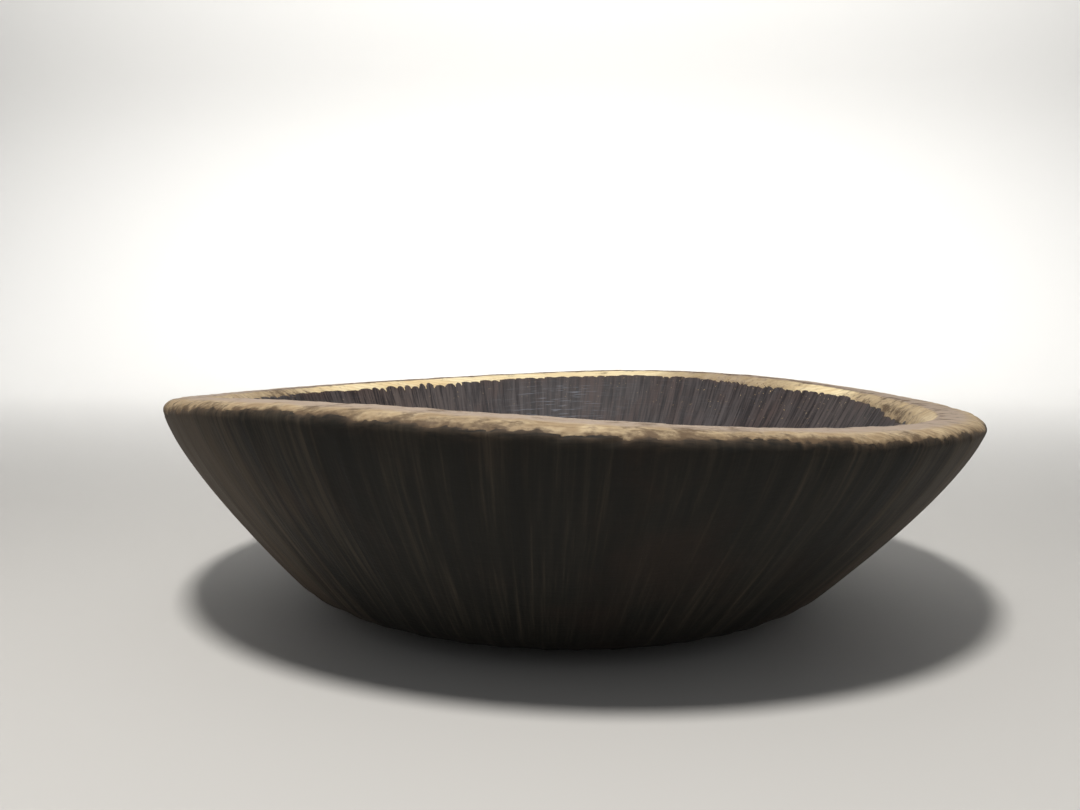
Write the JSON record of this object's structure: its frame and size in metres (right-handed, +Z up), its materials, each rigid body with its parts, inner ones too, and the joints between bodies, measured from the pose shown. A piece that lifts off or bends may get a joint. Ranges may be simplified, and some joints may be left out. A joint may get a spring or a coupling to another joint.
{
  "type": "carved wooden bowl",
  "caption": "Wide shallow hand-carved wooden bowl with flaring walls, a warped rim worn to bare wood, a fluted dark hollow and a small flat foot.",
  "frame": {"origin": "on the surface the bowl stands on, under the middle of the rim", "axes": "+Z up out of the hollow, +X along the grain of the wood, +Y from the front to the back"},
  "size_m": [0.4046, 0.3968, 0.1142],
  "materials": {
    "bare_wood": "bare, hand-worn, matt",
    "inner_finish": "dark stain in the hollow, slightly glossy on the crests between the gouge cuts",
    "outer_finish": "dark brown-black stain, matt and smoky"
  },
  "bodies": {
    "root": {"bowl_body": "bare_wood", "inner_coat": "inner_finish", "outer_coat": "outer_finish"}
  },
  "joints": []
}
